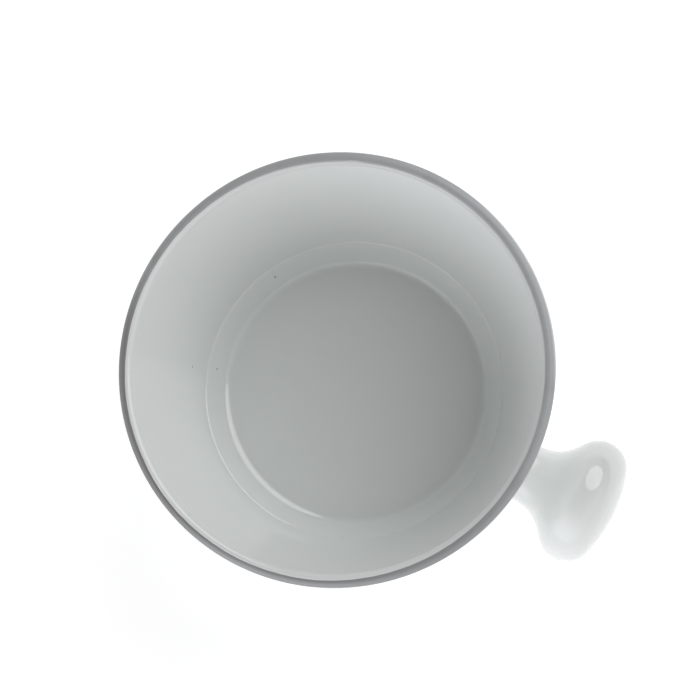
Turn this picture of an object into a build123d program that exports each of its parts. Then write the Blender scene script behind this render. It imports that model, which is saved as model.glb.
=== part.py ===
from build123d import *
from math import cos, radians, sin, sqrt, tan
import os

# A porcelain shaving mug: a round bowl on a foot ring, with a mushroom-shaped knob
# luted to one side as its handle. The body is fired bare, coated with clear glaze,
# and a platinum lustre band is fired over the lip.
# Millimetres, +Z up, +X towards the knob. The origin is on the bowl's axis, in the
# plane that the foot ring stands on.

# Outside sizes, over the glaze and the lustre
mug_radius = 55.0
mug_height = 58.0

# Fired layers
glaze = 0.30
lustre = 0.15

# Bowl body, bare porcelain
lip_radius = mug_radius - lustre - glaze
lip_height = mug_height - lustre - glaze
lip_thickness = 2.6
lip_rounding = 1.25
straight_lip_height = 5.2  # from the lip down to where the slanted wall would meet it
flare_rounding = 25.0  # eases the slanted wall into the upright lip
heel_radius = 41.0
heel_height = 4.2
heel_rounding = 5.5
floor_height = 7.7
floor_edge_radius = 34.5
floor_rounding = 4.3
corner_radius = 35.85  # where the floor's turned-up edge meets the cove
corner_height = 8.5
corner_rounding = 1.8
cove_radius = 40.0  # where the cove, flatter than the wall, meets the steep wall
cove_height = 13.8
cove_rounding = 4.0

# Foot ring
foot_outer_radius = 35.2
foot_inner_radius = 31.2
foot_draft = 0.6
foot_rounding = 0.5
foot_outside_rounding = 1.2
recess_height = 2.4
recess_rounding = 1.5
bare_foot_height = 1.2  # the glaze is wiped off the foot below this height

# Knob, over the glaze
knob_height = 22.0
knob_end = 76.8
knob_radius = 16.65
knob_neck_radius = 7.8
knob_flare_radius = 10.6
knob_cone_angle = 51.0
knob_shoulder_radius = 7.25
knob_end_radius = 37.9
knob_wall = 3.2
vent_radius = 0.9
vent_distance = 55.5

# Slip fillet that joins the knob's neck to the bowl
slip_rounding = 4.0

# Lustre band
band_outside_depth = 2.5
band_inner_radius = 53.0

# Where the inside glaze, poured, meets the outside glaze, dipped
glaze_meeting_radius = lip_radius - lip_thickness / 2 - 0.1

past_axis = 5.0  # half sections run past the axis before they are trimmed to it
clear_of_all = 90.0  # larger than any part of the mug

knob_axis = Axis((0, 0, knob_height), (1, 0, 0))
knob_plane = Plane(origin=(0, 0, knob_height), x_dir=(1, 0, 0), z_dir=(0, -1, 0))


def outer_corners():
    """Corners of the bare bowl from the recess to the lip, with each one's rounding."""
    return [
        ((-past_axis, recess_height), None),
        ((foot_inner_radius - foot_draft, recess_height), recess_rounding),
        ((foot_inner_radius, 0), foot_rounding),
        ((foot_outer_radius, 0), foot_rounding),
        ((foot_outer_radius + foot_draft, recess_height), foot_outside_rounding),
        ((heel_radius, heel_height), heel_rounding),
        ((lip_radius, lip_height - straight_lip_height), flare_rounding),
        ((lip_radius, lip_height), lip_rounding),
    ]


def inner_corners():
    """Corners of the bare bowl from the lip's inside to the middle of the floor."""
    return [
        ((lip_radius - lip_thickness, lip_height), lip_rounding),
        ((cove_radius, cove_height), cove_rounding),
        ((corner_radius, corner_height), corner_rounding),
        ((floor_edge_radius, floor_height), floor_rounding),
        ((-past_axis, floor_height), None),
    ]


def bowl_section(growth=0.0, filled=False):
    """Half section of the bowl, grown all round; filled leaves out the hollow."""
    if filled:
        corners = outer_corners() + [((-past_axis, lip_height), None)]
    else:
        corners = outer_corners() + inner_corners()
    with BuildSketch(Plane.XZ) as section:
        with BuildLine():
            ends_and_corners = [point for point, _ in corners]
            roundings = [rounding for _, rounding in corners if rounding is not None]
            outline = FilletPolyline(*ends_and_corners, radius=roundings)
            Line(outline @ 1, outline @ 0)
        make_face()
        if growth:
            offset(amount=growth, kind=Kind.ARC)
        with Locations((clear_of_all / 2, 0)):
            Rectangle(clear_of_all, 2 * clear_of_all, mode=Mode.INTERSECT)
    return section.sketch


def inside_region():
    """Everything on the hollow side of a line through the middle of the wall."""
    with BuildSketch(Plane.XZ) as region:
        with BuildLine():
            Polyline(
                (0, heel_height + glaze),
                (heel_radius - 2, heel_height + 2),
                (glaze_meeting_radius, lip_height - 1.5),
                (glaze_meeting_radius, clear_of_all),
                (0, clear_of_all),
                close=True,
            )
        make_face()
    return region.sketch


def knob_solid(growth=0.0):
    """Solid knob and neck. Its arcs keep their centres, so growth offsets them exactly."""
    slope = radians(knob_cone_angle)
    centre_height = knob_radius - knob_shoulder_radius
    end_centre = knob_end - knob_end_radius
    between = knob_end_radius - knob_shoulder_radius
    shoulder_centre = end_centre + sqrt(between**2 - centre_height**2)
    shoulder = knob_shoulder_radius + growth
    flare = knob_flare_radius - growth
    cap = knob_end_radius + growth
    neck = knob_neck_radius + growth
    cone_top = (shoulder_centre - shoulder * sin(slope), centre_height + shoulder * cos(slope))
    cone_foot_height = neck + flare * (1 - cos(slope))
    cone_foot = (cone_top[0] - (cone_top[1] - cone_foot_height) / tan(slope), cone_foot_height)
    flare_start = (cone_foot[0] - flare * sin(slope), neck)
    crown = (shoulder_centre, centre_height + shoulder)
    cap_edge = (
        end_centre + cap * (shoulder_centre - end_centre) / between,
        cap * centre_height / between,
    )
    with BuildPart() as knob:
        with BuildSketch(knob_plane):
            with BuildLine():
                Line((0, 0), (0, neck))
                Line((0, neck), flare_start)
                to_cone = JernArc(flare_start, (1, 0), flare, knob_cone_angle)
                Line(to_cone @ 1, cone_top)
                to_crown = TangentArc(cone_top, crown, tangent=(cos(slope), sin(slope)))
                to_cap = TangentArc(crown, cap_edge, tangent=to_crown % 1)
                to_tip = TangentArc(cap_edge, (end_centre + cap, 0), tangent=to_cap % 1)
                Line(to_tip @ 1, (0, 0))
            make_face()
        revolve(axis=knob_axis)
    return knob.part


def bowl_with_knob(growth=0.0):
    """Filled bowl and solid knob in one, with the slip fillet round the neck."""
    with BuildPart() as whole:
        add(revolved(bowl_section(growth, filled=True)))
        add(knob_solid(growth - glaze))
        fillet(neck_edges(whole), radius=slip_rounding - growth)
    return whole.part


def revolved(section):
    """A section of the bowl turned about the bowl's axis."""
    with BuildPart() as turned:
        add(section)
        revolve(axis=Axis.Z)
    return turned.part


def neck_edges(whole):
    """The edges where the knob's neck meets the bowl's wall."""
    reach = knob_neck_radius + 1
    return [
        edge
        for edge in whole.edges()
        if edge.center().X > 0
        and abs(edge.bounding_box().max.Y) < reach
        and abs(edge.bounding_box().min.Y) < reach
        and edge.bounding_box().max.X < knob_end - knob_radius
        and edge.bounding_box().min.X > foot_outer_radius
    ]


def vent_hole():
    """Small firing vent under the neck, from below up into the knob's hollow."""
    with BuildPart() as vent:
        with BuildSketch(Plane.XY):
            with Locations((vent_distance, 0)):
                Circle(vent_radius)
        extrude(amount=knob_height)
    return vent.part


def export(builder, name):
    builder.part.label = name
    export_step(builder.part, f"parts/{name}.step")


os.makedirs("parts", exist_ok=True)

bare_bowl = revolved(bowl_section(filled=True))
bare_knob = knob_solid(-glaze)
bare_mug = bowl_with_knob()
vent = vent_hole()

# Bowl body: wall, floor and foot ring in one jiggered piece

with BuildPart() as bowl_body:
    add(bowl_section())
    revolve(axis=Axis.Z)

# Knob handle: slip-cast and hollow, its open neck cut to fit the bowl's wall

with BuildPart() as knob_handle:
    add(bare_knob)
    add(knob_solid(-glaze - knob_wall), mode=Mode.SUBTRACT)
    add(bare_bowl, mode=Mode.SUBTRACT)
    add(vent, mode=Mode.SUBTRACT)

# Slip joint: the luting slip smoothed into a fillet round the neck

with BuildPart() as handle_slip_joint:
    add(bare_mug)
    add(bare_bowl, mode=Mode.SUBTRACT)
    add(bare_knob, mode=Mode.SUBTRACT)

# Inside glaze: over the floor, up the wall and half way over the lip

with BuildPart() as inside_glaze:
    with BuildSketch(Plane.XZ):
        add(bowl_section(glaze))
        add(bowl_section(), mode=Mode.SUBTRACT)
        add(inside_region(), mode=Mode.INTERSECT)
    revolve(axis=Axis.Z)

# Outside glaze: from the lip down to the foot, over the joint and the knob

with BuildPart() as outside_glaze:
    add(bowl_with_knob(glaze))
    add(bare_mug, mode=Mode.SUBTRACT)
    with BuildSketch(Plane.XY.offset(lip_height - 1)):
        Circle(glaze_meeting_radius)
    extrude(amount=2, mode=Mode.SUBTRACT)
    with BuildSketch(Plane.XY.offset(-1)):
        Circle((foot_inner_radius + foot_outer_radius) / 2)
    extrude(amount=recess_height + 1 + glaze, mode=Mode.SUBTRACT)
    with BuildSketch(Plane.XY.offset(-1)):
        Circle(clear_of_all)
    extrude(amount=bare_foot_height + 1, mode=Mode.SUBTRACT)
    add(vent, mode=Mode.SUBTRACT)

# Base glaze: the patch of glaze inside the foot ring

with BuildPart() as base_glaze:
    with BuildSketch(Plane.XZ):
        add(bowl_section(glaze))
        add(bowl_section(), mode=Mode.SUBTRACT)
        with Locations((0, bare_foot_height)):
            Rectangle(
                foot_inner_radius + foot_rounding,
                recess_height - bare_foot_height,
                align=(Align.MIN, Align.MIN),
                mode=Mode.INTERSECT,
            )
    revolve(axis=Axis.Z)

# Platinum lustre band: a thin skin over the lip

with BuildPart() as platinum_rim_band:
    with BuildSketch(Plane.XZ):
        add(bowl_section(glaze + lustre))
        add(bowl_section(glaze), mode=Mode.SUBTRACT)
        with Locations((band_inner_radius, mug_height - band_outside_depth)):
            Rectangle(clear_of_all, clear_of_all, align=(Align.MIN, Align.MIN), mode=Mode.INTERSECT)
    revolve(axis=Axis.Z)

export(bowl_body, "bowl_body")
export(knob_handle, "knob_handle")
export(handle_slip_joint, "handle_slip_joint")
export(inside_glaze, "inside_glaze")
export(outside_glaze, "outside_glaze")
export(base_glaze, "base_glaze")
export(platinum_rim_band, "platinum_rim_band")
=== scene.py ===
"""Looks for the porcelain shaving mug: glaze coats, lustre band, materials, light and camera."""

from math import atan2, cos, hypot, pi, radians, sin, sqrt, tan

import bmesh
import bpy
from mathutils import Matrix, Vector, noise


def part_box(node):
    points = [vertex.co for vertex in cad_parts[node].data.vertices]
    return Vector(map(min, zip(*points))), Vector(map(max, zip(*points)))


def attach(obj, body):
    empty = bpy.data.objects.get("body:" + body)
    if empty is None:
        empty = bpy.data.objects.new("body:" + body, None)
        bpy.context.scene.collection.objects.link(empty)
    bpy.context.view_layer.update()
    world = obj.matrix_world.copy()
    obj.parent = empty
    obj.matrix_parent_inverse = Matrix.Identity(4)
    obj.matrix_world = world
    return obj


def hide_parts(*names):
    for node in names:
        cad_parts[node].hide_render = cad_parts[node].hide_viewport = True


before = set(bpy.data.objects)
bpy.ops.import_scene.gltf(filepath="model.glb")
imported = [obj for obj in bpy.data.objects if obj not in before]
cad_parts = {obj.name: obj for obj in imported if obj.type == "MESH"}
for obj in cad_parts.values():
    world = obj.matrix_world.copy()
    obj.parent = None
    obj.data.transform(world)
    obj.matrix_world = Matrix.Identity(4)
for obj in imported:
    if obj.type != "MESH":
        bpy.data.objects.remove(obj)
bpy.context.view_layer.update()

MM = 0.001

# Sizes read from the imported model

band_low, band_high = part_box("platinum_rim_band")
body_low, body_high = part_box("bowl_body")
knob_low, knob_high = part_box("knob_handle")
inner_low, inner_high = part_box("inside_glaze")
outer_low, outer_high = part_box("outside_glaze")
base_low, base_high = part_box("base_glaze")

glaze = inner_high.z - body_high.z
lustre = band_high.z - inner_high.z
lip_radius = band_high.x - lustre - glaze
lip_height = body_high.z
floor_height = inner_low.z
bare_foot_height = outer_low.z
recess_height = base_high.z
knob_height = (knob_low.z + knob_high.z) / 2
knob_radius = (knob_high.z - knob_low.z) / 2 + glaze
knob_end = outer_high.x

# The bowl's other sizes, as in the CAD model

lip_thickness = 2.6 * MM
lip_rounding = 1.25 * MM
straight_lip_height = 5.2 * MM
flare_rounding = 25.0 * MM
heel_radius = 41.0 * MM
heel_height = 4.2 * MM
heel_rounding = 5.5 * MM
floor_edge_radius = 34.5 * MM
floor_rounding = 4.3 * MM
corner_radius = 35.85 * MM
corner_height = 8.5 * MM
corner_rounding = 1.8 * MM
cove_radius = 40.0 * MM
cove_height = 13.8 * MM
ledge_radius = cove_radius + 0.2 * MM  # a fine ledge that the glaze keeps where the cove ends
ledge_height = cove_height + 0.15 * MM
ledge_width = 0.45 * MM
ledge_drop = 0.25 * MM
ledge_rounding = 0.5 * MM
ledge_edge_rounding = 0.25 * MM
foot_outer_radius = 35.2 * MM
foot_inner_radius = 31.2 * MM
foot_draft = 0.6 * MM
foot_outside_rounding = 1.2 * MM
recess_rounding = 1.5 * MM
knob_neck_radius = 7.8 * MM
knob_flare_radius = 10.6 * MM
knob_cone_angle = radians(51.0)
knob_shoulder_radius = 7.25 * MM
knob_end_radius = 37.9 * MM
vent_radius = 0.9 * MM
vent_distance = 55.5 * MM
slip_rounding = 4.0 * MM
glaze_meeting_radius = lip_radius - lip_thickness / 2 - 0.1 * MM

AROUND = 256  # quads round the bowl
STEP = 1.2 * MM  # longest quad along an outline
ARC_STEP = radians(5)


# Outlines


def rounded(corners, growth):
    """Points along an outline of (radius, height) corners with roundings, grown outward.

    The solid lies to the left of the outline. Arcs keep their centres, so growth is an offset.
    """
    runs = []
    for before, here, after in zip(corners, corners[1:], corners[2:]):
        (x0, y0), (x1, y1), (x2, y2) = before[0], here[0], after[0]
        rounding = here[1]
        a0 = atan2(y1 - y0, x1 - x0)
        turn = (atan2(y2 - y1, x2 - x1) - a0 + pi) % (2 * pi) - pi
        cut = rounding * abs(tan(turn / 2))
        side = 1 if turn > 0 else -1
        start = (x1 - cos(a0) * cut, y1 - sin(a0) * cut)
        centre = (start[0] - side * sin(a0) * rounding, start[1] + side * cos(a0) * rounding)
        reach = rounding + side * growth
        steps = max(2, int(abs(turn) / ARC_STEP) + 1)
        run = []
        for i in range(steps + 1):
            a = a0 + turn * i / steps
            run.append((centre[0] + side * sin(a) * reach, centre[1] - side * cos(a) * reach))
        runs.append(run)
    first, last = corners[0][0], corners[-1][0]
    a0 = atan2(corners[1][0][1] - first[1], corners[1][0][0] - first[0])
    a1 = atan2(last[1] - corners[-2][0][1], last[0] - corners[-2][0][0])
    runs.insert(0, [(first[0] + sin(a0) * growth, first[1] - cos(a0) * growth)])
    runs.append([(last[0] + sin(a1) * growth, last[1] - cos(a1) * growth)])
    points = []
    for run in runs:
        if points:
            points += between(points[-1], run[0])
        points += run
    return points


def between(a, b):
    """Evenly spaced points strictly between a and b, no further apart than STEP."""
    count = int(hypot(b[0] - a[0], b[1] - a[1]) / STEP)
    return [
        (a[0] + (b[0] - a[0]) * i / (count + 1), a[1] + (b[1] - a[1]) * i / (count + 1))
        for i in range(1, count + 1)
    ]


def outside_corners():
    """The bowl from its foot to the middle of the lip."""
    return [
        ((foot_outer_radius + foot_draft * bare_foot_height / recess_height, bare_foot_height), 0),
        ((foot_outer_radius + foot_draft, recess_height), foot_outside_rounding),
        ((heel_radius, heel_height), heel_rounding),
        ((lip_radius, lip_height - straight_lip_height), flare_rounding),
        ((lip_radius, lip_height), lip_rounding),
        ((glaze_meeting_radius, lip_height), 0),
    ]


def inside_corners():
    """The bowl from the middle of the lip down to the middle of the floor."""
    return [
        ((glaze_meeting_radius, lip_height), 0),
        ((lip_radius - lip_thickness, lip_height), lip_rounding),
        ((ledge_radius, ledge_height), ledge_rounding),
        ((ledge_radius - ledge_width, ledge_height - ledge_drop), ledge_edge_rounding),
        ((corner_radius, corner_height), corner_rounding),
        ((floor_edge_radius, floor_height), floor_rounding),
        ((0, floor_height), 0),
    ]


def base_corners():
    """The recess inside the foot ring, from the middle out and down to the bare foot."""
    return [
        ((0, recess_height), 0),
        ((foot_inner_radius - foot_draft, recess_height), recess_rounding),
        ((foot_inner_radius - foot_draft * bare_foot_height / recess_height, bare_foot_height), 0),
    ]


# Meshes


def new_piece(name, mesh):
    piece = bpy.data.objects.new(name, mesh)
    bpy.context.scene.collection.objects.link(piece)
    for face in mesh.polygons:
        face.use_smooth = True
    return piece


def turned(name, points, around=AROUND):
    """A surface of revolution about +Z; a point on the axis becomes one vertex."""
    bm = bmesh.new()
    rings = []
    for r, z in points:
        if r < 1e-6:
            rings.append([bm.verts.new((0, 0, z))])
        else:
            rings.append([
                bm.verts.new((r * cos(2 * pi * i / around), r * sin(2 * pi * i / around), z))
                for i in range(around)
            ])
    for low, high in zip(rings, rings[1:]):
        for i in range(around):
            j = (i + 1) % around
            a, b = low[i % len(low)], low[j % len(low)]
            c, d = high[j % len(high)], high[i % len(high)]
            bm.faces.new(list(dict.fromkeys((a, b, c, d))))
    mesh = bpy.data.meshes.new(name)
    bm.to_mesh(mesh)
    bm.free()
    return new_piece(name, mesh)


def thicken(piece, depth):
    """Gives a surface its real thickness, inward from the face that shows."""
    shell = piece.modifiers.new("thickness", "SOLIDIFY")
    shell.thickness = depth
    shell.offset = -1
    shell.use_even_offset = True
    return piece


def ragged_foot(piece):
    """Lets the glaze's lowest edge, wiped by hand, wander up by a fraction of a millimetre."""
    reach = 0.9 * MM
    lowest = min(v.co.z for v in piece.data.vertices)
    for v in piece.data.vertices:
        height = v.co.z - lowest
        if height < reach:
            edge = Vector((v.co.x, v.co.y, 0)).normalized() * 12
            v.co.z += (0.5 + noise.noise(edge)) * 0.35 * MM * (1 - height / reach)
    return piece


def drilled(piece, x, radius, bottom, top):
    """Cuts a vertical round hole through a thickened piece, on its +X side."""
    bm = bmesh.new()
    bmesh.ops.create_cone(bm, cap_ends=True, segments=32, radius1=radius, radius2=radius, depth=top - bottom)
    mesh = bpy.data.meshes.new("drill")
    bm.to_mesh(mesh)
    bm.free()
    drill = bpy.data.objects.new("drill", mesh)
    drill.location = (x, 0, (bottom + top) / 2)
    bpy.context.scene.collection.objects.link(drill)
    cut = piece.modifiers.new("hole", "BOOLEAN")
    cut.object = drill
    cut.operation = "DIFFERENCE"
    cut.solver = "EXACT"
    bpy.context.view_layer.update()
    drawn = piece.evaluated_get(bpy.context.evaluated_depsgraph_get())
    whole = bpy.data.meshes.new_from_object(drawn)
    piece.modifiers.clear()
    piece.data = whole
    bpy.data.objects.remove(drill)
    return piece


# The knob's profile, in its own plane: x along the knob's axis, h away from it

shoulder_height = knob_radius - knob_shoulder_radius
end_centre = knob_end - knob_end_radius
shoulder_x = end_centre + sqrt((knob_end_radius - knob_shoulder_radius) ** 2 - shoulder_height**2)
cone_top_x = shoulder_x - knob_shoulder_radius * sin(knob_cone_angle)
cone_top_h = shoulder_height + knob_shoulder_radius * cos(knob_cone_angle)
cone_foot_h = knob_neck_radius + knob_flare_radius * (1 - cos(knob_cone_angle))
cone_foot_x = cone_top_x - (cone_top_h - cone_foot_h) / tan(knob_cone_angle)
flare_x = cone_foot_x - knob_flare_radius * sin(knob_cone_angle)
flare_h = knob_neck_radius + knob_flare_radius


def arc(centre, radius, start, end, step=ARC_STEP):
    """Points on an arc, angles in radians from the knob's axis."""
    steps = max(2, int(abs(end - start) / step) + 1)
    turns = [start + (end - start) * i / steps for i in range(steps + 1)]
    return [(centre[0] + radius * cos(a), centre[1] + radius * sin(a)) for a in turns]


def knob_profile():
    """From the start of the flare, up the cone, round the shoulder and over the end."""
    edge = atan2(shoulder_height, shoulder_x - end_centre)
    cone_side = pi / 2 + knob_cone_angle
    flare = arc((flare_x, flare_h), knob_flare_radius, -pi / 2, knob_cone_angle - pi / 2)
    shoulder = arc((shoulder_x, shoulder_height), knob_shoulder_radius, cone_side, edge)
    cap = arc((end_centre, 0), knob_end_radius, edge, 0, ARC_STEP / 4)
    return flare + between(flare[-1], shoulder[0]) + shoulder + cap[1:]


def neck_radius_at(x):
    """Distance from the knob's axis to the neck's surface, up to the end of the flare."""
    if x < flare_x:
        return knob_neck_radius
    return flare_h - sqrt(knob_flare_radius**2 - (x - flare_x) ** 2)


# The outside wall's straight stretch, where the knob is joined


def wall_line(outline):
    """Radius at height 0 and slope of the longest straight stretch of the outside."""
    rings = wall_rings(outline)
    low, high = outline[rings[0]], outline[rings[-1]]
    slope = (high[0] - low[0]) / (high[1] - low[1])
    return low[0] - low[1] * slope, slope


def wall_rings(outline):
    """Indexes of the outline's points on the straight slanted wall."""
    want = atan2(lip_height - straight_lip_height - heel_height, lip_radius - heel_radius)
    found = []
    for i, (a, b) in enumerate(zip(outline, outline[1:])):
        if abs(atan2(b[1] - a[1], b[0] - a[0]) - want) < radians(0.01):
            found.append(i)
    return found + [found[-1] + 1]


def slip_fillet(angle, foot_radius, slope, rounding):
    """Centre and both touching points of the joint's fillet, at an angle round the neck."""
    lean = atan2(slope, 1)
    x, h = foot_radius + knob_height * slope, knob_neck_radius + rounding
    for _ in range(30):
        y, z = h * cos(angle), knob_height + h * sin(angle)
        x = sqrt((foot_radius + z * slope + rounding / cos(lean)) ** 2 - y**2)
        if x > flare_x:
            h = flare_h - sqrt((knob_flare_radius - rounding) ** 2 - (x - flare_x) ** 2)
        else:
            h = knob_neck_radius + rounding
    centre = Vector((x, h * cos(angle), knob_height + h * sin(angle)))
    around = atan2(centre.y, centre.x)
    wall_normal = Vector((cos(lean) * cos(around), cos(lean) * sin(around), -sin(lean)))
    if x > flare_x:
        away = (Vector((x, h)) - Vector((flare_x, flare_h))).normalized()
    else:
        away = Vector((0, -1))
    neck_normal = -Vector((away.x, away.y * cos(angle), away.y * sin(angle)))
    return centre, wall_normal, neck_normal


def outside_with_knob(name):
    """The outside coat: bowl wall with a window, filled by wall, fillet, neck and knob."""
    outline = rounded(outside_corners(), glaze)
    straight = wall_rings(outline)
    foot_radius, slope = wall_line(outline)
    rounding = slip_rounding - glaze
    margin = knob_neck_radius + rounding + 2.5 * STEP
    rows = [i for i in straight if abs(outline[i][1] - knob_height) < margin]
    low_row, high_row = rows[0], rows[-1]
    half = int((margin / (foot_radius + knob_height * slope)) / (2 * pi / AROUND)) + 1

    bm = bmesh.new()
    grid = [
        [
            bm.verts.new((r * cos(2 * pi * i / AROUND), r * sin(2 * pi * i / AROUND), z))
            for i in range(AROUND)
        ]
        for r, z in outline
    ]
    for row in range(len(outline) - 1):
        for i in range(AROUND):
            column = (i + AROUND // 2) % AROUND - AROUND // 2
            if low_row <= row < high_row and -half <= column < half:
                continue
            j = (i + 1) % AROUND
            bm.faces.new((grid[row][i], grid[row][j], grid[row + 1][j], grid[row + 1][i]))

    # the window's edge, anticlockwise as seen from outside, starting at its lower right
    loop = [grid[low_row][i] for i in range(-half, half)]
    loop += [grid[i][half] for i in range(low_row, high_row)]
    loop += [grid[high_row][i] for i in range(half, -half, -1)]
    loop += [grid[i][-half] for i in range(high_row, low_row, -1)]

    angles = [atan2(v.co.z - knob_height, v.co.y) for v in loop]
    joints = [slip_fillet(a, foot_radius, slope, rounding) for a in angles]
    ring = loop
    window_steps, fillet_steps, neck_steps = 6, 8, 6
    for step in range(1, window_steps + 1):
        t = step / window_steps
        rows_now = []
        for start, (centre, wall_normal, _) in zip(loop, joints):
            touch = centre - wall_normal * rounding
            around0, around1 = atan2(start.co.y, start.co.x), atan2(touch.y, touch.x)
            around = around0 + (around1 - around0) * t
            z = start.co.z + (touch.z - start.co.z) * t
            r = foot_radius + slope * z
            rows_now.append(bm.verts.new((r * cos(around), r * sin(around), z)))
        ring = bridged(bm, ring, rows_now)
    for step in range(1, fillet_steps + 1):
        t = step / fillet_steps
        rows_now = []
        for centre, wall_normal, neck_normal in joints:
            turned_normal = wall_normal.slerp(neck_normal, t)
            rows_now.append(bm.verts.new(centre - turned_normal * rounding))
        ring = bridged(bm, ring, rows_now)
    profile = [p for p in knob_profile() if p[0] > flare_x + 3 * STEP]
    neck_start = [v.co.x for v in ring]
    for step in range(1, neck_steps + 1):
        t = step / neck_steps
        rows_now = []
        for a, x0 in zip(angles, neck_start):
            x = x0 + (profile[0][0] - x0) * t
            h = neck_radius_at(x)
            rows_now.append(bm.verts.new((x, h * cos(a), knob_height + h * sin(a))))
        ring = bridged(bm, ring, rows_now)
    for x, h in profile[1:-1]:
        rows_now = [bm.verts.new((x, h * cos(a), knob_height + h * sin(a))) for a in angles]
        ring = bridged(bm, ring, rows_now)
    tip = bm.verts.new((profile[-1][0], 0, knob_height))
    for a, b in zip(ring, ring[1:] + ring[:1]):
        bm.faces.new((a, b, tip))
    mesh = bpy.data.meshes.new(name)
    bm.to_mesh(mesh)
    bm.free()
    return new_piece(name, mesh)


def bridged(bm, ring, after):
    """Joins two closed rings of as many points with quads, and returns the second."""
    count = len(ring)
    for i in range(count):
        j = (i + 1) % count
        bm.faces.new((ring[i], ring[j], after[j], after[i]))
    return after


# The lip's line, for the band: arc length from the middle of the lip, positive inward


def lip_line():
    """(arc length, radius, height) along the glazed lip, outside to inside."""
    corners = [
        ((heel_radius, heel_height), 0),
        ((lip_radius, lip_height - straight_lip_height), flare_rounding),
        ((lip_radius, lip_height), lip_rounding),
        ((lip_radius - lip_thickness, lip_height), lip_rounding),
        ((cove_radius, cove_height), 0),
    ]
    points = [p for p in rounded(corners, glaze) if p[1] > lip_height - 2 * straight_lip_height]
    lengths = [0.0]
    for a, b in zip(points, points[1:]):
        lengths.append(lengths[-1] + hypot(b[0] - a[0], b[1] - a[1]))
    middle = next(
        length for length, p in zip(lengths, points) if p[0] <= glaze_meeting_radius + STEP / 10
        and p[1] > lip_height
    )
    return [(length - middle, *p) for length, p in zip(lengths, points)]


def along(line, s):
    """Point and outward normal at arc length s of a line."""
    for (s0, r0, z0), (s1, r1, z1) in zip(line, line[1:]):
        if s1 >= s:
            t = (s - s0) / (s1 - s0)
            way = Vector((r1 - r0, z1 - z0)).normalized()
            return r0 + (r1 - r0) * t, z0 + (z1 - z0) * t, way.y, -way.x
    raise ValueError("past the end of the lip's line")


def bump(around, centre, width):
    """A smooth bump of height 1 round an azimuth, both in radians."""
    away = (around - centre + pi) % (2 * pi) - pi
    return 2.718 ** (-((away / width) ** 2))


def band_edges(around):
    """Arc lengths of the band's outer and inner edges at an azimuth, painted by hand."""
    wave = noise.noise(Vector((3 * cos(around), 3 * sin(around), 0))) * 0.12 * MM
    fine = noise.noise(Vector((22 * cos(around), 22 * sin(around), 4))) * 0.05 * MM
    lap = bump(around, radians(112), radians(2.5)) * 0.45 * MM
    inner = 0.26 * MM + 0.61 * MM * cos(around - radians(78)) + wave + fine - lap
    outer = -3.0 * MM + wave - fine
    return outer, inner


def band(name):
    """The lustre film: a thin closed skin wrapped over the lip."""
    line = lip_line()
    across, around_steps = 16, 2 * AROUND
    sink = 0.02 * MM
    bm = bmesh.new()
    first, ring = None, None
    for i in range(around_steps):
        around = 2 * pi * i / around_steps
        outer, inner = band_edges(around)
        top, under = [], []
        for k in range(across + 1):
            u = k / across
            r, z, normal_r, normal_z = along(line, outer + (inner - outer) * u)
            rise = lustre * 0.6 * (1 - abs(2 * u - 1) ** 6)
            for side, lift in ((top, rise), (under, -sink)):
                x = r + normal_r * lift
                side.append(bm.verts.new((x * cos(around), x * sin(around), z + normal_z * lift)))
        section = top + under[::-1]
        if ring:
            bridged(bm, ring, section)
        else:
            first = section
        ring = section
    bridged(bm, ring, first)
    bm.normal_update()
    for edge in bm.edges:
        edge.smooth = edge.calc_face_angle() < radians(40)
    mesh = bpy.data.meshes.new(name)
    bm.to_mesh(mesh)
    bm.free()
    return new_piece(name, mesh)


# Materials


class Tree:
    """A node tree, with short ways to add and join its nodes."""

    def __init__(self, tree):
        self.tree = tree

    def node(self, kind, inputs=(), **settings):
        made = self.tree.nodes.new("ShaderNode" + kind)
        for key, value in settings.items():
            setattr(made, key, value)
        for socket, value in dict(inputs).items():
            self.put(made.inputs[socket], value)
        return made

    def put(self, socket, value):
        if isinstance(value, bpy.types.NodeSocket):
            self.tree.links.new(value, socket)
        else:
            socket.default_value = value

    def math(self, operation, a, b=0.0):
        return self.node("Math", {0: a, 1: b}, operation=operation).outputs[0]

    def step(self, value, low, high):
        """0 at low, 1 at high, eased between; low may be above high."""
        inputs = {"Value": value, "From Min": low, "From Max": high}
        return self.node("MapRange", inputs, interpolation_type="SMOOTHSTEP").outputs[0]

    def spread(self, value, low, high):
        """A 0 to 1 value spread over low to high."""
        return self.node("MapRange", {"Value": value, "To Min": low, "To Max": high}).outputs[0]

    def noise(self, vector, size, detail=2.0):
        """Noise with features of about a size in metres."""
        inputs = {"Vector": vector, "Scale": 1 / size, "Detail": detail}
        return self.node("TexNoise", inputs).outputs[0]

    def mix(self, factor, a, b):
        made = self.node("Mix", data_type="RGBA")
        for index, value in ((0, factor), (6, a), (7, b)):
            self.put(made.inputs[index], value)
        return made.outputs[2]

    def relief(self, height, depth, below=None):
        """A bump of a depth in metres; below is the normal that it is laid over."""
        inputs = {"Height": height, "Distance": depth, "Strength": 1.0}
        if below:
            inputs["Normal"] = below
        return self.node("Bump", inputs).outputs[0]


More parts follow.
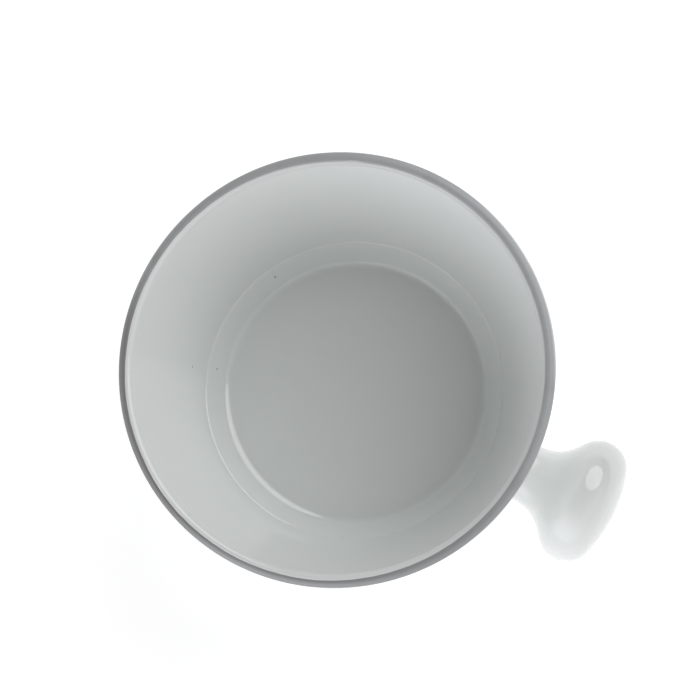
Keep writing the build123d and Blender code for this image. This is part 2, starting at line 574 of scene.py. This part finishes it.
class Shading(Tree):
    """A material's node tree, with the place on the piece in metres."""

    def __init__(self, name):
        self.material = bpy.data.materials.new(name)
        self.material.use_nodes = True
        super().__init__(self.material.node_tree)
        self.shader = self.tree.nodes["Principled BSDF"]
        self.place = self.node("TexCoord").outputs["Object"]
        self.x, self.y, self.z = self.node("SeparateXYZ", {0: self.place}).outputs
        flat = self.node("CombineXYZ", {0: self.x, 1: self.y}).outputs[0]
        self.radius = self.node("VectorMath", {0: flat}, operation="LENGTH").outputs["Value"]

    def set(self, **values):
        for name, value in values.items():
            self.put(self.shader.inputs[name.replace("_", " ").title().replace("Ior", "IOR")], value)

    def out(self, azimuth, low, high):
        """0 at low millimetres out towards an azimuth in degrees, 1 at high."""
        toward = (cos(radians(azimuth)), sin(radians(azimuth)), 0)
        reached = self.node("VectorMath", {0: self.place, 1: toward}, operation="DOT_PRODUCT")
        return self.step(reached.outputs["Value"], low * MM, high * MM)

    def near(self, point, reach):
        """1 at a point in millimetres, 0 further than reach from it."""
        away = self.node("VectorMath", {0: self.place, 1: Vector(point) * MM}, operation="DISTANCE")
        return self.step(away.outputs["Value"], reach, reach / 2)


def rgb(red, green, blue):
    return (red, green, blue, 1)


def glazed_porcelain():
    """Clear glaze over white porcelain, greener where it pools, with painted shade near the top of the lip
    and over the knob's end.
    """
    s = Shading("glazed_porcelain")
    clouds = s.noise(s.place, 22 * MM, 3.0)
    body = s.mix(clouds, rgb(0.716, 0.741, 0.730), rgb(0.734, 0.754, 0.745))
    inside_corner = s.math("MULTIPLY", s.step(s.radius, 32.5 * MM, 36 * MM), s.step(s.z, 15 * MM, 9 * MM))
    run = s.spread(s.noise(s.place, 5 * MM, 2.0), 0.4, 1.0)
    pooled = s.math("MULTIPLY", inside_corner, run)
    body = s.mix(s.math("MULTIPLY", pooled, 0.6), body, rgb(0.69, 0.735, 0.72))
    # painted shade: the glaze greyed near the top of the lip, darkest towards the side between +X and +Y
    lip_painted_shade = s.math("MULTIPLY", s.step(s.z, 56.2 * MM, 57.8 * MM), s.spread(s.out(60, -30, 40), 0.15, 1.0))
    body = s.mix(lip_painted_shade, body, rgb(0.51, 0.525, 0.52))
    # painted shade: the glaze greyed over the knob's outer end
    body = s.mix(s.math("MULTIPLY", s.out(25, 56, 70), 0.9), body, rgb(0.63, 0.645, 0.64))
    pinholes = s.near((-33.4, 17.9, 11.6), 0.42 * MM)
    for point in ((-36.1, -11.4, 11.5), (-39.7, -14.3, 22.9)):
        pinholes = s.math("MAXIMUM", pinholes, s.near(point, 0.36 * MM))
    stray = s.node("TexVoronoi", {"Vector": s.place, "Scale": 1 / (13 * MM)}).outputs["Distance"]
    pinholes = s.math("MAXIMUM", pinholes, s.step(stray, 0.018, 0.009))
    body = s.mix(s.math("MULTIPLY", pinholes, 0.75), body, rgb(0.20, 0.19, 0.17))
    smears = s.noise(s.place, 9 * MM, 4.0)
    undulation = s.relief(s.noise(s.place, 20 * MM, 1.0), 0.006 * MM)
    peel = s.relief(s.noise(s.place, 1.1 * MM, 1.0), 0.0002 * MM, undulation)
    s.set(base_color=body, roughness=s.spread(smears, 0.015, 0.05), ior=1.65)
    s.set(normal=s.relief(pinholes, -0.02 * MM, peel))
    return s.material


def bare_porcelain(name, light, dark, grain_size):
    """Fired, unglazed porcelain: matt, finely grained, scuffed grey where it stands."""
    s = Shading(name)
    grain = s.noise(s.place, grain_size, 3.0)
    clouds = s.noise(s.place, 8 * MM, 3.0)
    body = s.mix(s.math("ADD", s.math("MULTIPLY", grain, 0.5), s.math("MULTIPLY", clouds, 0.5)), dark, light)
    specks = s.node("TexVoronoi", {"Vector": s.place, "Scale": 1 / (2.4 * MM)}).outputs["Distance"]
    body = s.mix(s.math("MULTIPLY", s.step(specks, 0.10, 0.05), 0.5), body, rgb(0.38, 0.34, 0.29))
    scuffs = s.step(s.noise(s.place, 2.5 * MM, 4.0), 0.48, 0.62)
    scuffed = s.math("MULTIPLY", scuffs, s.step(s.z, 0.25 * MM, 0.05 * MM))
    body = s.mix(s.math("MULTIPLY", scuffed, 0.6), body, rgb(0.45, 0.44, 0.42))
    s.set(base_color=body, roughness=s.spread(grain, 0.62, 0.82), ior=1.5)
    s.set(normal=s.relief(grain, 0.02 * MM, s.relief(clouds, 0.05 * MM)))
    return s.material


def platinum():
    """Brushed-on platinum lustre: soft grey metal, streaked along the band, with painted shade and a painted
    reflection.
    """
    s = Shading("platinum_lustre")
    round_x, round_y = s.math("DIVIDE", s.x, s.radius), s.math("DIVIDE", s.y, s.radius)
    fan = s.node("CombineXYZ", {0: round_x, 1: round_y}).outputs[0]
    across = s.node("CombineXYZ", {0: s.radius, 1: s.z}).outputs[0]
    along_band = s.node("VectorMath", {0: fan, 1: (6 * MM,) * 3}, operation="MULTIPLY").outputs[0]
    streak_place = s.node("VectorMath", {0: along_band, 1: across}, operation="ADD").outputs[0]
    streaks = s.noise(streak_place, 0.45 * MM, 3.0)
    patches = s.noise(fan, 0.16, 2.0)
    cloth = s.noise(s.place, 0.8 * MM, 4.0)
    metal = s.mix(streaks, rgb(0.37, 0.379, 0.388), rgb(0.45, 0.459, 0.468))
    metal = s.mix(s.math("MULTIPLY", s.step(patches, 0.5, 0.75), 0.5), metal, rgb(0.34, 0.335, 0.325))
    # painted shade, darker towards -Y and -X, and a painted reflection, pale on the outer edge between +X
    # and +Y
    # painted shade on the band's darker sides
    metal = s.mix(s.math("MULTIPLY", s.out(-83, 0, 40), 0.5), metal, rgb(0.25, 0.253, 0.256))
    metal = s.mix(s.math("MULTIPLY", s.out(-138, 38, 50), 0.75), metal, rgb(0.25, 0.246, 0.238))
    # painted reflection: paler metal on the band's outer face between +X and +Y
    painted_reflection_mask = s.math("MULTIPLY", s.out(50, 46, 53), s.step(s.radius, 54.2 * MM, 54.8 * MM))
    metal = s.mix(s.math("MULTIPLY", painted_reflection_mask, 0.8), metal, rgb(0.66, 0.67, 0.69))
    s.set(base_color=metal, metallic=0.75)
    s.set(roughness=s.math("ADD", s.spread(streaks, 0.58, 0.70), s.spread(cloth, -0.04, 0.04)))
    s.set(normal=s.relief(streaks, 0.001 * MM, s.relief(cloth, 0.0008 * MM)))
    return s.material


def paint(piece, made):
    piece.data.materials.clear()
    piece.data.materials.append(made)


# Pieces

inside = thicken(turned("inside_glaze_coat", rounded(inside_corners(), glaze)), glaze)
outside = thicken(ragged_foot(outside_with_knob("outside_glaze_coat")), glaze)
outside = drilled(outside, vent_distance, vent_radius, knob_height / 2, knob_height - 0.5 * knob_neck_radius)
base = thicken(ragged_foot(turned("base_glaze_coat", rounded(base_corners(), glaze))), glaze)
rim = band("platinum_band")

for piece, node in (
    (inside, "inside_glaze"),
    (outside, "outside_glaze"),
    (base, "base_glaze"),
    (rim, "platinum_rim_band"),
):
    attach(piece, "root")
    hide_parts(node)

glazed = glazed_porcelain()
bare = bare_porcelain("bare_porcelain", rgb(0.82, 0.80, 0.76), rgb(0.74, 0.71, 0.66), 0.35 * MM)
slip = bare_porcelain("joining_slip", rgb(0.83, 0.82, 0.79), rgb(0.77, 0.75, 0.71), 0.9 * MM)
for piece in (inside, outside, base):
    paint(piece, glazed)
for node in ("bowl_body", "knob_handle"):
    paint(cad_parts[node], bare)
paint(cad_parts["handle_slip_joint"], slip)
paint(rim, platinum())

# Camera

rim_plane = band_high.z
handle_turn = radians(27.15)  # the knob points this far clockwise of the picture's right
picture_right = Vector((cos(handle_turn), sin(handle_turn), 0))
picture_up = Vector((-sin(handle_turn), cos(handle_turn), 0))
rim_middle = Vector((0, 0, rim_plane))
camera_place = rim_middle + 0.0691 * picture_right - 0.0837 * picture_up + Vector((0, 0, 0.600))
aim = rim_middle + 0.00386 * picture_right + 0.00410 * picture_up

camera = bpy.data.objects.new("camera", bpy.data.cameras.new("camera"))
bpy.context.scene.collection.objects.link(camera)
ahead = (aim - camera_place).normalized()
across = ahead.cross(picture_up).normalized()
upward = across.cross(ahead)
camera.matrix_world = Matrix.Translation(camera_place) @ Matrix(
    (across, upward, -ahead)
).transposed().to_4x4()
camera.data.sensor_width = 36
camera.data.lens = 125.93
camera.data.clip_start = 0.01
camera.data.clip_end = 20
bpy.context.scene.camera = camera

# Floor

floor_mesh = bpy.data.meshes.new("floor")
reach = 1.5
floor_mesh.from_pydata(
    [(-reach, -reach, 0), (reach, -reach, 0), (reach, reach, 0), (-reach, reach, 0)], [], [(0, 1, 2, 3)]
)
floor = bpy.data.objects.new("floor", floor_mesh)
bpy.context.scene.collection.objects.link(floor)
ground = Shading("floor")
ground.set(base_color=rgb(0.5, 0.5, 0.5), roughness=1.0, emission_color=rgb(1, 1, 1), emission_strength=0.66)
paint(floor, ground.material)

# Light: a pale tent that is open above, and one large softbox


def direction(azimuth, zenith):
    """Unit vector; azimuth in degrees from the knob, zenith in degrees from straight up."""
    a, z = radians(azimuth), radians(zenith)
    return Vector((cos(a) * sin(z), sin(a) * sin(z), cos(z)))


def softbox(name, azimuth, zenith, width, height, brightness):
    """An elliptical white light one metre away, as wide and high as two angles in degrees."""
    light = bpy.data.lights.new(name, "AREA")
    light.shape = "ELLIPSE"
    light.size = 2 * tan(radians(width / 2))
    light.size_y = 2 * tan(radians(height / 2))
    area = pi / 4 * light.size * light.size_y
    light.energy = brightness * pi * area
    lamp = bpy.data.objects.new(name, light)
    bpy.context.scene.collection.objects.link(lamp)
    middle = Vector((0, 0, rim_plane / 2))
    away = direction(azimuth, zenith)
    lamp.location = middle + away
    lamp.rotation_euler = away.to_track_quat("Z", "Y").to_euler()
    lamp.visible_camera = False


softbox("main_light", 74, 45, 57, 48, 2.1)

world = bpy.data.worlds.new("world")
bpy.context.scene.world = world
world.use_nodes = True
sky = Tree(world.node_tree)
way = sky.node("TexCoord").outputs["Generated"]


def tent_lobe(azimuth, zenith, edge, core):
    """A soft patch of the tent: 1 within core degrees of a direction, 0 beyond edge."""
    toward = sky.node("VectorMath", {0: way, 1: direction(azimuth, zenith)}, operation="DOT_PRODUCT")
    return sky.step(toward.outputs["Value"], cos(radians(edge)), cos(radians(core)))


# The tent's own brightness, none straight above, and its brighter and darker sides
glow = sky.math("MULTIPLY", sky.math("SUBTRACT", 1.0, tent_lobe(0, 0, 60, 25)), 0.55)
side = tent_lobe(258, 100, 75, 20)
for brightness, lobe in (
    (1.0, side),
    (0.40, tent_lobe(270, 90, 80, 20)),
    (0.15, tent_lobe(290, 60, 70, 20)),
    (0.22, tent_lobe(30, 50, 60, 10)),
    (0.16, tent_lobe(0, 80, 60, 5)),
    (-0.45, tent_lobe(55, 95, 50, 20)),
):
    glow = sky.math("ADD", glow, sky.math("MULTIPLY", lobe, brightness))
# Under the floor's level the tent is dim
upward_part = sky.node("SeparateXYZ", {0: way}).outputs[2]
most_glow = sky.math("ADD", 0.45, sky.math("MULTIPLY", sky.step(upward_part, -0.12, -0.03), 2.55))
glow = sky.math("MINIMUM", glow, most_glow)
background = world.node_tree.nodes["Background"]
sky.put(background.inputs["Color"], sky.mix(side, rgb(1, 1, 1), rgb(0.995, 0.995, 1.025)))
sky.put(background.inputs["Strength"], glow)

bpy.context.scene.view_settings.view_transform = "Standard"
